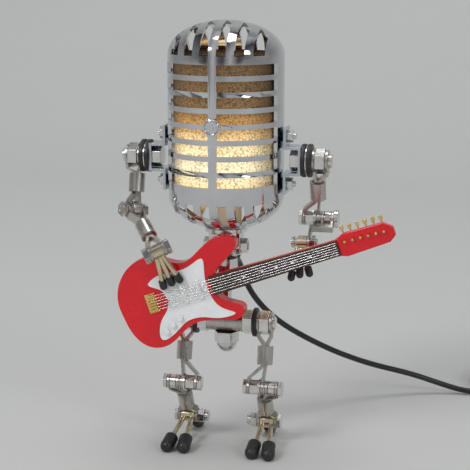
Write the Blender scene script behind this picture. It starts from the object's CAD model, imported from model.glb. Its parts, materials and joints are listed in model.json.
import json
import math

import bmesh
import bpy
from mathutils import Matrix, Vector


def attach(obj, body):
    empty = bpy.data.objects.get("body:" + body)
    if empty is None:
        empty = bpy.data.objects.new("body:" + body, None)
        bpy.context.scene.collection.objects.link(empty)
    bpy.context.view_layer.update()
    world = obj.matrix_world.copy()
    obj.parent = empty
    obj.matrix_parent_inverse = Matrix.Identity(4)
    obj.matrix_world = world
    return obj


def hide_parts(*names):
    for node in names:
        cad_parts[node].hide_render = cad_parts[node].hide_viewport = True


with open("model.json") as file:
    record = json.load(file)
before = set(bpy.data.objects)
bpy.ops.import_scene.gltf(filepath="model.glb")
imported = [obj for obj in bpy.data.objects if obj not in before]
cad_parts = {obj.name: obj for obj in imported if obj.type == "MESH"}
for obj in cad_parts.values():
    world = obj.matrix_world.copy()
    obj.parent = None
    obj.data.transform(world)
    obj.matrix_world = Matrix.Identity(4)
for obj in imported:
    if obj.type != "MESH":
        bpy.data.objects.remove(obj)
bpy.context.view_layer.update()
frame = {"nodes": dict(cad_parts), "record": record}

mm = 0.001
bodies = frame["record"]["behaviour"]["bodies"]
bodyOfNode = {node: body for body, nodes in bodies.items() for node in nodes}
scene = bpy.context.scene
print("frame loaded:", len(frame["nodes"]), "nodes")


# Camera: the robot faces a little to the left of the viewer

cameraSet = {
    "azimuth": 13.0, "elevation": 12.0, "distance": 0.711, "lens": 93.0, "sensor": 36.0,
    "nearest": 0.01, "target": (0.0052, 0.0, 0.1281),
}


def buildCamera():
    data = bpy.data.cameras.new("photoCamera")
    data.lens = cameraSet["lens"]
    data.sensor_width = cameraSet["sensor"]
    data.clip_start = cameraSet["nearest"]
    camera = bpy.data.objects.new("photoCamera", data)
    scene.collection.objects.link(camera)
    azimuth = math.radians(cameraSet["azimuth"])
    elevation = math.radians(cameraSet["elevation"])
    target = Vector(cameraSet["target"])
    away = Vector((math.sin(azimuth) * math.cos(elevation), -math.cos(azimuth) * math.cos(elevation),
                   math.sin(elevation)))
    camera.location = target + away * cameraSet["distance"]
    camera.rotation_euler = (-away).to_track_quat("-Z", "Y").to_euler()
    scene.camera = camera


buildCamera()


# Materials

def newMaterial(name):
    material = bpy.data.materials.new(name)
    material.use_nodes = True
    nodes = material.node_tree.nodes
    return material, nodes, material.node_tree.links, nodes["Principled BSDF"]


def objectNoise(nodes, links, scale, detail=3.0, stretch=(1, 1, 1), roughness=0.55):
    place = nodes.new("ShaderNodeTexCoord")
    mapping = nodes.new("ShaderNodeMapping")
    mapping.inputs["Scale"].default_value = stretch
    noise = nodes.new("ShaderNodeTexNoise")
    noise.inputs["Scale"].default_value = scale
    noise.inputs["Detail"].default_value = detail
    noise.inputs["Roughness"].default_value = roughness
    links.new(place.outputs["Object"], mapping.inputs["Vector"])
    links.new(mapping.outputs["Vector"], noise.inputs["Vector"])
    return noise.outputs["Fac"]


def ramp(nodes, links, factor, stops):
    node = nodes.new("ShaderNodeValToRGB")
    elements = node.color_ramp.elements
    while len(elements) < len(stops):
        elements.new(0.5)
    for element, (place, colour) in zip(elements, stops):
        element.position = place
        element.color = (*colour, 1)
    links.new(factor, node.inputs["Fac"])
    return node.outputs["Color"]


# Noise stays mostly between 0.3 and 0.7, so that is what a ramp or a spread covers
def cloudRamp(nodes, links, cloud, dark, light):
    return ramp(nodes, links, cloud, [(0.3, dark), (0.7, light)])


def cloudSpread(nodes, links, cloud, low, high):
    return mapRange(nodes, links, cloud, 0.3, 0.7, low, high)


def mapRange(nodes, links, value, fromLow, fromHigh, toLow=0.0, toHigh=1.0):
    node = nodes.new("ShaderNodeMapRange")
    node.inputs["From Min"].default_value = fromLow
    node.inputs["From Max"].default_value = fromHigh
    node.inputs["To Min"].default_value = toLow
    node.inputs["To Max"].default_value = toHigh
    links.new(value, node.inputs["Value"])
    return node.outputs["Result"]


def addBump(nodes, links, shader, height, strength, distance):
    bump = nodes.new("ShaderNodeBump")
    bump.inputs["Strength"].default_value = strength
    bump.inputs["Distance"].default_value = distance
    links.new(height, bump.inputs["Height"])
    links.new(bump.outputs["Normal"], shader.inputs["Normal"])


def metalFinish(name, dark, light, roughLow, roughHigh, grain, stretch=(1, 1, 1), bump=0.04, depth=0.00005):
    material, nodes, links, shader = newMaterial(name)
    shader.inputs["Metallic"].default_value = 1.0
    cloud = objectNoise(nodes, links, grain, 4.0, stretch)
    links.new(cloudRamp(nodes, links, cloud, dark, light), shader.inputs["Base Color"])
    links.new(cloudSpread(nodes, links, cloud, roughLow, roughHigh), shader.inputs["Roughness"])
    fine = objectNoise(nodes, links, grain * 9, 2.0, stretch)
    addBump(nodes, links, shader, fine, bump, depth)
    return material


def smoothFinish(name, dark, light, roughLow, roughHigh, grain, bump=0.05, depth=0.00005, coat=0.0):
    material, nodes, links, shader = newMaterial(name)
    cloud = objectNoise(nodes, links, grain, 4.0)
    links.new(cloudRamp(nodes, links, cloud, dark, light), shader.inputs["Base Color"])
    links.new(cloudSpread(nodes, links, cloud, roughLow, roughHigh), shader.inputs["Roughness"])
    shader.inputs["Coat Weight"].default_value = coat
    shader.inputs["Coat Roughness"].default_value = 0.04
    fine = objectNoise(nodes, links, grain * 8, 2.0)
    addBump(nodes, links, shader, fine, bump, depth)
    return material


# Speckled gold mesh, lit from inside: bright near the bulb, brown above it, dark at the sides
goldMeshSet = {
    "cells": 900, "bottom": 0.150, "top": 0.234, "speckleShare": 0.75,
    "fadeStart": 0.018, "fadeEnd": 0.0285, "middleGlow": 1.15, "sideGlow": 0.05,
    "roughness": 0.5, "bump": 0.5, "bumpDepth": 0.0003,
    "speckle": [(0.0, (1, 1, 1)), (0.5, (0.5, 0.5, 0.5)), (0.85, (0.08, 0.08, 0.08))],
    "glow": [(0.0, (0.10, 0.05, 0.02)), (0.10, (1.0, 0.70, 0.32)), (0.22, (1.0, 0.88, 0.60)),
             (0.40, (1.0, 0.78, 0.42)), (0.53, (0.55, 0.29, 0.09)), (0.66, (0.20, 0.115, 0.045)),
             (0.95, (0.13, 0.075, 0.03)), (1.0, (0.01, 0.006, 0.003))],
}


def goldMeshFinish():
    material, nodes, links, shader = newMaterial("goldMesh")
    place = nodes.new("ShaderNodeTexCoord")
    cells = nodes.new("ShaderNodeTexVoronoi")
    cells.inputs["Scale"].default_value = goldMeshSet["cells"]
    links.new(place.outputs["Object"], cells.inputs["Vector"])
    speckle = ramp(nodes, links, cells.outputs["Distance"], goldMeshSet["speckle"])
    split = nodes.new("ShaderNodeSeparateXYZ")
    links.new(place.outputs["Object"], split.inputs["Vector"])
    level = mapRange(nodes, links, split.outputs["Z"], goldMeshSet["bottom"], goldMeshSet["top"])
    glow = ramp(nodes, links, level, goldMeshSet["glow"])
    across = nodes.new("ShaderNodeMath")
    across.operation = "ABSOLUTE"
    links.new(split.outputs["X"], across.inputs[0])
    strength = mapRange(nodes, links, across.outputs["Value"], goldMeshSet["fadeStart"],
                        goldMeshSet["fadeEnd"], goldMeshSet["middleGlow"], goldMeshSet["sideGlow"])
    links.new(strength, shader.inputs["Emission Strength"])
    mix = nodes.new("ShaderNodeMix")
    mix.data_type = "RGBA"
    mix.blend_type = "MULTIPLY"
    mix.inputs["Factor"].default_value = goldMeshSet["speckleShare"]
    links.new(glow, mix.inputs[6])  # 6, 7 and 2 are the Mix node's colour sockets
    links.new(speckle, mix.inputs[7])
    links.new(mix.outputs[2], shader.inputs["Emission Color"])
    links.new(mix.outputs[2], shader.inputs["Base Color"])
    shader.inputs["Roughness"].default_value = goldMeshSet["roughness"]
    addBump(nodes, links, shader, cells.outputs["Distance"], goldMeshSet["bump"],
            goldMeshSet["bumpDepth"])
    return material


bulbSet = {"dark": (1.0, 0.74, 0.38), "light": (1.0, 0.86, 0.56), "grain": 50, "glow": 0.8}


def bulbFinish():
    material, nodes, links, shader = newMaterial("warmBulb")
    cloud = objectNoise(nodes, links, bulbSet["grain"])
    tint = cloudRamp(nodes, links, cloud, bulbSet["dark"], bulbSet["light"])
    links.new(tint, shader.inputs["Base Color"])
    links.new(tint, shader.inputs["Emission Color"])
    shader.inputs["Emission Strength"].default_value = bulbSet["glow"]
    return material


# Each finish: dark and light colour, least and most roughness, grain
finishes = {
    "chromeCase": metalFinish("chromeCase", (0.60, 0.60, 0.62), (0.68, 0.68, 0.70),
                              0.05, 0.12, 60, bump=0.03),
    "brightNickel": metalFinish("brightNickel", (0.62, 0.61, 0.59), (0.80, 0.79, 0.77),
                                0.10, 0.24, 140, bump=0.06),
    "brushedLink": metalFinish("brushedLink", (0.44, 0.42, 0.38), (0.62, 0.60, 0.56),
                               0.22, 0.38, 160, (1, 1, 0.2), bump=0.2, depth=0.0001),
    "blueZinc": metalFinish("blueZinc", (0.46, 0.52, 0.60), (0.68, 0.70, 0.74),
                            0.18, 0.34, 90, bump=0.08),
    "goldRod": metalFinish("goldRod", (0.62, 0.52, 0.34), (0.80, 0.72, 0.54),
                           0.16, 0.30, 150, bump=0.06),
    "goldPlate": metalFinish("goldPlate", (0.72, 0.48, 0.14), (0.86, 0.64, 0.26),
                             0.14, 0.28, 160, bump=0.06),
    "blackRubber": smoothFinish("blackRubber", (0.012, 0.012, 0.013), (0.022, 0.022, 0.023),
                                0.32, 0.5, 120, bump=0.12),
    "blackCable": smoothFinish("blackCable", (0.010, 0.010, 0.011), (0.020, 0.020, 0.021),
                               0.28, 0.42, 160),
    "redLacquer": smoothFinish("redLacquer", (0.60, 0.0, 0.006), (0.68, 0.0, 0.009),
                               0.20, 0.28, 30, bump=0.01, coat=0.25),
    "whiteGuard": smoothFinish("whiteGuard", (0.76, 0.77, 0.78), (0.83, 0.84, 0.85),
                               0.2, 0.32, 60, bump=0.01, coat=0.4),
    "darkBoard": smoothFinish("darkBoard", (0.035, 0.014, 0.008), (0.085, 0.038, 0.022),
                              0.35, 0.5, 220),
    "whitePlastic": smoothFinish("whitePlastic", (0.72, 0.71, 0.68), (0.80, 0.79, 0.76),
                                 0.35, 0.5, 60),
    "stringSteel": metalFinish("stringSteel", (0.62, 0.62, 0.62), (0.78, 0.78, 0.78),
                               0.2, 0.3, 300),
    "goldMesh": goldMeshFinish(),
    "warmBulb": bulbFinish(),
}
print("materials ready:", len(finishes))


# Shared mesh work

def finishMesh(work, name):
    mesh = bpy.data.meshes.new(name)
    work.to_mesh(mesh)
    work.free()
    return mesh


def addObject(name, mesh, body, finish):
    item = bpy.data.objects.new(name, mesh)
    scene.collection.objects.link(item)
    mesh.materials.clear()
    mesh.materials.append(finishes[finish])
    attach(item, body)
    return item


def shadeByAngle(mesh, degrees=40):
    limit = math.radians(degrees)
    work = bmesh.new()
    work.from_mesh(mesh)
    for face in work.faces:
        face.smooth = True
    for edge in work.edges:
        edge.smooth = len(edge.link_faces) == 2 and edge.calc_face_angle(0.0) < limit
    work.to_mesh(mesh)
    work.free()


# Angles in degrees: faces this level are joined, flatter edges are shaded smooth, sharper ones rounded
dressSet = {"weld": 2e-6, "levelAngle": 1.0, "smoothAngle": 32, "roundAngle": 35, "roundSegments": 2}


# A copy of a CAD node, its triangles joined, its edges rounded, in place of the node
def dressNode(node, finish, bevel):
    mesh = frame["nodes"][node].data.copy()
    work = bmesh.new()
    work.from_mesh(mesh)
    bmesh.ops.remove_doubles(work, verts=work.verts, dist=dressSet["weld"])
    bmesh.ops.dissolve_limit(work, angle_limit=math.radians(dressSet["levelAngle"]),
                             verts=work.verts, edges=work.edges)
    work.to_mesh(mesh)
    work.free()
    shadeByAngle(mesh, dressSet["smoothAngle"])
    item = addObject(node + "_finished", mesh, bodyOfNode[node], finish)
    if bevel:
        edge = item.modifiers.new("roundedEdges", "BEVEL")
        edge.width = bevel * mm
        edge.segments = dressSet["roundSegments"]
        edge.limit_method = "ANGLE"
        edge.angle_limit = math.radians(dressSet["roundAngle"])
        edge.harden_normals = True
        edge.use_clamp_overlap = True
    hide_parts(node)


# Pieces that keep their CAD shape: finish, and width of the rounded edges in mm

dressed = {
    "mic_front_grille": ("chromeCase", 0.45), "mic_rear_grille": ("chromeCase", 0.45),
    "mic_badge": ("chromeCase", 0.2), "base_plate": ("brightNickel", 0.3),
    "tilt_bolt_set": ("brightNickel", 0.25), "bracket_screws": ("brightNickel", 0.3),
    "shoulder_bracket_left": ("blueZinc", 0.35), "shoulder_bracket_right": ("blueZinc", 0.35),
    "shoulder_bolts": ("brightNickel", 0.4), "shoulder_washers": ("blackRubber", 0.5),
    "swivel_block": ("brightNickel", 0.4), "neck_collar": ("brightNickel", 0.4),
    "neck_stud": ("brightNickel", 0.2), "hip_tube": ("brushedLink", 0.4),
    "hip_axle": ("brightNickel", 0.3), "hip_nuts": ("brightNickel", 0.4),
    "trunk_washers": ("blackRubber", 0.5), "acorn_nut": ("brightNickel", 0.4),
    "cable_gland": ("blackRubber", 0.4), "guitar_hanger": ("brightNickel", 0.3),
    "guitar_bridge": ("goldPlate", 0.15), "guitar_tuners": ("goldPlate", 0.15),
    "guitar_controls": ("whiteGuard", 0.25), "guitar_body": ("redLacquer", 1.1),
    "guitar_neck": ("redLacquer", 0.7), "guitar_pickguard": ("whiteGuard", 0.15),
    "guitar_fretboard": ("darkBoard", 0.0), "bulb_holder": ("whitePlastic", 0.4),
    "touch_dimmer": ("blackRubber", 0.3), "led_bulb": ("warmBulb", 0.0),
}
for side in ("left", "right"):
    for limb in ("thigh", "shin", "upper_arm", "forearm"):
        dressed[f"{limb}_{side}"] = ("brushedLink", 0.3)
    for joint in ("knee", "ankle", "elbow", "wrist"):
        dressed[f"{joint}_bolt_{side}"] = ("brightNickel", 0.3)
    for tips in ("finger_tips", "toe_caps"):
        dressed[f"{tips}_{side}"] = ("blackRubber", 0.3)
    dressed[f"hand_{side}"] = ("goldRod", 0.2)
    dressed[f"foot_{side}"] = ("goldRod", 0.2)
for node, (finish, bevel) in dressed.items():
    dressNode(node, finish, bevel)

# The liner and the strings stay as CAD nodes and only take a finish
for node, finish in (("mesh_liner", "goldMesh"), ("guitar_strings", "stringSteel")):
    item = frame["nodes"][node]
    for face in item.data.polygons:
        face.use_smooth = True
    for slot in item.material_slots:
        slot.material = finishes[finish]
print("CAD nodes dressed:", len(dressed))


# Fret dots and the badge's ring and boss, in mm; tilt is the neck's rise in degrees

trimSet = {
    "bridge": (-39.3, -21.0, 89.7), "tilt": 19.6, "scale": 114.0,
    "dotFrets": (3, 5, 7, 9, 12), "dotRadius": 0.85, "dotDepth": 0.3,
    "badge": (0.0, -35.1, 195.0), "ringRadius": 3.9, "ringWire": 0.45,
    "bossRadius": 1.5, "bossTaper": 0.8, "bossHeight": 0.5,
}
quarterTurn = math.radians(90)


def buildFretDots():
    tilt = math.radians(trimSet["tilt"])
    along = Vector((math.cos(tilt), 0, math.sin(tilt)))
    front = min(vertex.co.y for vertex in frame["nodes"]["guitar_fretboard"].data.vertices)
    board = Vector(trimSet["bridge"]) * mm
    radius = trimSet["dotRadius"] * mm
    work = bmesh.new()
    for fret in trimSet["dotFrets"]:
        reach = trimSet["scale"] * (2 ** (-fret / 12) + 2 ** (-(fret - 1) / 12)) / 2  # between two frets
        place = board + along * (reach * mm)
        place.y = front
        bmesh.ops.create_cone(work, cap_ends=True, segments=20, radius1=radius, radius2=radius,
                              depth=trimSet["dotDepth"] * mm,
                              matrix=Matrix.Translation(place) @ Matrix.Rotation(quarterTurn, 4, "X"))
    addObject("fretDots", finishMesh(work, "fretDots"), "trunk", "whitePlastic")


def buildBadgeTrim():
    work = bmesh.new()
    ring = bmesh.ops.create_circle(work, segments=14, radius=trimSet["ringWire"] * mm)
    bmesh.ops.rotate(work, cent=(0, 0, 0), matrix=Matrix.Rotation(quarterTurn, 3, "Z"),
                     verts=ring["verts"])
    bmesh.ops.translate(work, vec=(trimSet["ringRadius"] * mm, 0, 0), verts=ring["verts"])
    bmesh.ops.spin(work, geom=ring["verts"] + work.edges[:], cent=(0, 0, 0), axis=(0, 1, 0),
                   angle=2 * math.pi, steps=40, use_merge=True)
    bmesh.ops.create_cone(work, cap_ends=True, segments=24, radius1=trimSet["bossRadius"] * mm,
                          radius2=trimSet["bossTaper"] * trimSet["bossRadius"] * mm,
                          depth=2 * trimSet["bossHeight"] * mm,
                          matrix=Matrix.Rotation(quarterTurn, 4, "X"))
    bmesh.ops.remove_doubles(work, verts=work.verts, dist=1e-6)
    bmesh.ops.translate(work, vec=Vector(trimSet["badge"]) * mm, verts=work.verts)
    bmesh.ops.recalc_face_normals(work, faces=work.faces)
    mesh = finishMesh(work, "badgeTrim")
    shadeByAngle(mesh)
    addObject("badgeTrim", mesh, "head", "chromeCase")


buildFretDots()
buildBadgeTrim()
print("fret dots and badge trim built")


# Cable and its coil, in mm; the route runs from the gland to the start of the coil

cableSet = {
    "radius": 1.85, "length": 1081.0, "coilMean": 20.5, "coilStep": 4.3, "coilTurns": 3,
    "coilInset": 0.08, "lead": 3.7, "plugHalf": 3.5, "runOut": (9, 21, 30),
    "route": [(0, 11.5, 109.4), (0, 22.5, 109.4), (0.1, 33.5, 104.8), (0.9, 40.6, 95.2), (4.2, 45.4, 83.2),
              (11.6, 50.2, 71.3), (22.5, 58, 59), (38, 69, 46.6), (55.5, 83, 34.2), (75.5, 97, 23.4),
              (101.5, 110.5, 14.4), (121, 116.2, 6.8), (138, 118, 1.95), (166, 118.7, 1.95)],
}


# Points of a coil that spirals in, climbs a layer in half a turn and spirals out again
def coilPoints(start, entry):
    point, tangent, inward = Vector(start), Vector(entry), Vector((-entry.y, entry.x, 0))
    step, turns = cableSet["coilStep"], cableSet["coilTurns"]
    radius = cableSet["coilMean"] + step * turns / 2
    points = []
    swell = 1 / math.cos(math.pi / 16)  # a spline runs inside its control points

    # Control points over a span of quarter turns, four to each
    def sweep(centre, tangent, inward, radius, span, rise):
        for share in [(2 * count + 1) / (8 * span) for count in range(4 * span)]:
            angle = share * span * math.pi / 2
            out = (-inward) * math.cos(angle) + tangent * math.sin(angle)
            reach = radius * swell - cableSet["coilInset"]
            points.append(centre + out * reach + Vector((0, 0, rise * share)))

    for part in (-1, 1):
        for _ in range(4 * turns - 1):
            if part > 0:
                radius += step / 4
            sweep(point + inward * radius, tangent, inward, radius, 1, 0)
            point = point + inward * radius + tangent * radius
            tangent, inward = inward, -tangent
            if part < 0:
                radius -= step / 4
        if part < 0:
            sweep(point + inward * radius, tangent, inward, radius, 2, step)
            point = point + inward * (2 * radius) + Vector((0, 0, step))
            tangent, inward = -tangent, -inward
    return points, point, tangent


def buildCable():
    route = [Vector(p) for p in cableSet["route"]]
    entry = (route[-1] - route[-2]).normalized()
    spiral, spiralEnd, outward = coilPoints(route[-1] + entry * cableSet["lead"], entry)
    drop = Vector((0, 0, spiralEnd.z - cableSet["plugHalf"]))
    clear, landed, end = cableSet["runOut"]
    runOut = [spiralEnd, spiralEnd + outward * clear, spiralEnd + outward * landed - drop,
              spiralEnd + outward * end - drop]
    points = route + spiral + runOut
    data = bpy.data.curves.new("usbCable", "CURVE")
    data.dimensions = "3D"
    data.bevel_depth = cableSet["radius"] * mm
    data.bevel_resolution = 4
    data.resolution_u = 6
    data.use_fill_caps = True
    spline = data.splines.new("NURBS")
    spline.points.add(len(points) - 1)
    for place, point in zip(spline.points, points):
        place.co = (*(point * mm), 1)
    spline.order_u = 3
    spline.use_endpoint_u = True
    cable = bpy.data.objects.new("usbCable", data)
    scene.collection.objects.link(cable)
    data.materials.append(finishes["blackCable"])
    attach(cable, "trunk")
    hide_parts("cable", "cable_coil")
    return cable, points[-1], outward


# Plug: length, width and height of its two pieces, and how far their middles lie past the cable

plugSet = {
    "grip": (19.6, 10.9, 6.9), "gripBevel": 1.2, "gripReach": 10,
    "shell": (12.0, 10.5, 4.4), "shellBevel": 0.3, "shellReach": 26,
}


def roundedBox(work, size, bevel, place):
    made = bmesh.ops.create_cube(work, size=1.0)
    bmesh.ops.scale(work, vec=[value * mm for value in size], verts=made["verts"])
    edges = list({edge for vert in made["verts"] for edge in vert.link_edges})
    bmesh.ops.bevel(work, geom=edges, offset=bevel * mm, offset_type="OFFSET", affect="EDGES", segments=3,
                    profile=0.5, material=-1, clamp_overlap=True)
    bmesh.ops.transform(work, matrix=place, verts=work.verts)


def plugPiece(name, piece, finish, end, outward):
    side = Vector((-outward.y, outward.x, 0))
    turn = Matrix((outward, side, Vector((0, 0, 1)))).transposed().to_4x4()
    place = Matrix.Translation((end + outward * plugSet[piece + "Reach"]) * mm) @ turn
    work = bmesh.new()
    roundedBox(work, plugSet[piece], plugSet[piece + "Bevel"], place)
    mesh = finishMesh(work, name)
    shadeByAngle(mesh)
    return addObject(name, mesh, "trunk", finish)


# Moulded grip, and the steel shell in front of it
def buildPlug(end, outward):
    grip = plugPiece("plugGrip", "grip", "blackCable", end, outward)
    shell = plugPiece("plugShell", "shell", "brightNickel", end, outward)
    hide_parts("usb_plug")
    return grip, shell


# Tapered ribbed sleeve where the cable leaves the gland; rib and groove ends count from the rib's start
reliefSet = {
    "bore": 1.9, "root": 2.9, "tip": 2.0, "length": 18.0, "ribs": 6, "firstRib": 1.0, "ribStep": 2.8,
    "ribRadius": 2.85, "ribTaper": 0.12, "ribEnd": 1.7, "groove": 0.35, "grooveStart": 1.9, "grooveEnd": 2.6,
}


def buildStrainRelief():
    work = bmesh.new()
    profile = [(reliefSet["bore"], 0.0), (reliefSet["root"], 0.0)]
    for rib in range(reliefSet["ribs"]):
        along = reliefSet["firstRib"] + rib * reliefSet["ribStep"]
        radius = reliefSet["ribRadius"] - rib * reliefSet["ribTaper"]
        inner = radius - reliefSet["groove"]
        profile += [(radius, along), (radius, along + reliefSet["ribEnd"]),
                    (inner, along + reliefSet["grooveStart"]), (inner, along + reliefSet["grooveEnd"])]
    profile += [(reliefSet["tip"], reliefSet["length"])]
    verts = [work.verts.new((radius * mm, 0, along * mm)) for radius, along in profile]
    edges = [work.edges.new(pair) for pair in zip(verts, verts[1:])]
    bmesh.ops.spin(work, geom=verts + edges, cent=(0, 0, 0), axis=(0, 0, 1), angle=2 * math.pi, steps=32,
                   use_merge=True)
    bmesh.ops.remove_doubles(work, verts=work.verts, dist=1e-6)
    bmesh.ops.recalc_face_normals(work, faces=work.faces)
    start = Vector(cableSet["route"][0]) * mm
    bmesh.ops.transform(work, matrix=Matrix.Translation(start) @ Matrix.Rotation(-quarterTurn, 4, "X"),
                        verts=work.verts)
    mesh = finishMesh(work, "strainRelief")
    shadeByAngle(mesh)
    return addObject("strainRelief", mesh, "trunk", "blackRubber")


cable, cableEnd, cableOutward = buildCable()
plugPieces = buildPlug(cableEnd, cableOutward)
relief = buildStrainRelief()
print("cable, plug and strain relief built")


# Paper, lights and world, in metres; each light has its place, side and power

stageSet = {
    "width": 12.0, "front": -3.0, "bend": 0.9, "bendRadius": 1.0, "top": 4.0, "bendSteps": 24,
    "paper": (0.50, 0.505, 0.50), "paperGrain": 3.0, "paperShade": 0.98, "paperRoughness": 0.8,
    "paperGloss": 0.15, "worldLight": (0.50, 0.51, 0.51), "worldStrength": 1.02,
    "reflected": [(0.0, (0.30, 0.30, 0.31)), (0.28, (0.03, 0.03, 0.035)), (0.40, (0.55, 0.55, 0.56)),
                  (0.47, (0.12, 0.12, 0.125)), (0.56, (0.04, 0.04, 0.045)), (0.68, (0.50, 0.50, 0.51)),
                  (0.80, (0.05, 0.05, 0.055)), (1.0, (0.30, 0.30, 0.31))],
    "lights": [
        ("keySoftbox", (-1.5, -2.1, 2.3), 1.0, 40.0),
        ("fillSoftbox", (2.2, -1.6, 1.5), 0.8, 14.0),
        ("topSoftbox", (0.1, 0.2, 2.8), 1.2, 22.0),
    ],
    "lightsAim": (0, 0, 0.12),
}


# Seamless paper: a flat floor that bends up into the background
def buildPaper():
    work = bmesh.new()
    profile = [(stageSet["front"], 0.0), (stageSet["bend"], 0.0)]
    radius, steps = stageSet["bendRadius"], stageSet["bendSteps"]
    for step in range(1, steps + 1):
        angle = step / steps * math.pi / 2
        profile.append((stageSet["bend"] + radius * math.sin(angle), radius * (1 - math.cos(angle))))
    profile.append((stageSet["bend"] + radius, stageSet["top"]))
    half = stageSet["width"] / 2
    rows = [[work.verts.new((x, y, z)) for x in (-half, half)] for y, z in profile]
    for low, high in zip(rows, rows[1:]):
        work.faces.new((low[0], low[1], high[1], high[0])).smooth = True
    mesh = finishMesh(work, "seamlessPaper")
    paper = bpy.data.objects.new("seamlessPaper", mesh)
    scene.collection.objects.link(paper)
    material, nodes, links, shader = newMaterial("palePaper")
    cloud = objectNoise(nodes, links, stageSet["paperGrain"])
    shaded = tuple(stageSet["paperShade"] * value for value in stageSet["paper"])
    links.new(cloudRamp(nodes, links, cloud, shaded, stageSet["paper"]), shader.inputs["Base Color"])
    shader.inputs["Roughness"].default_value = stageSet["paperRoughness"]
    shader.inputs["Specular IOR Level"].default_value = stageSet["paperGloss"]
    mesh.materials.append(material)


# Even light for matt surfaces, and light and dark bands for what the metal reflects
def buildWorld():
    world = bpy.data.worlds.new("studio")
    world.use_nodes = True
    nodes, links = world.node_tree.nodes, world.node_tree.links
    even = nodes["Background"]
    even.inputs["Color"].default_value = (*stageSet["worldLight"], 1)
    even.inputs["Strength"].default_value = stageSet["worldStrength"]
    place = nodes.new("ShaderNodeTexCoord")
    split = nodes.new("ShaderNodeSeparateXYZ")
    links.new(place.outputs["Generated"], split.inputs["Vector"])
    sideways = mapRange(nodes, links, split.outputs["X"], -1.0, 1.0)
    bands = nodes.new("ShaderNodeBackground")
    links.new(ramp(nodes, links, sideways, stageSet["reflected"]), bands.inputs["Color"])
    path = nodes.new("ShaderNodeLightPath")
    mix = nodes.new("ShaderNodeMixShader")
    links.new(path.outputs["Is Glossy Ray"], mix.inputs[0])
    links.new(even.outputs["Background"], mix.inputs[1])
    links.new(bands.outputs["Background"], mix.inputs[2])
    links.new(mix.outputs["Shader"], nodes["World Output"].inputs["Surface"])
    scene.world = world


def buildLights():
    for name, place, size, power in stageSet["lights"]:
        data = bpy.data.lights.new(name, "AREA")
        data.shape = "RECTANGLE"
        data.size = size
        data.size_y = size
        data.energy = power
        light = bpy.data.objects.new(name, data)
        light.location = place
        aim = Vector(stageSet["lightsAim"]) - Vector(place)
        light.rotation_euler = aim.to_track_quat("-Z", "Y").to_euler()
        scene.collection.objects.link(light)


buildPaper()
buildWorld()
buildLights()
scene.view_settings.view_transform = "Standard"
print("stage ready")
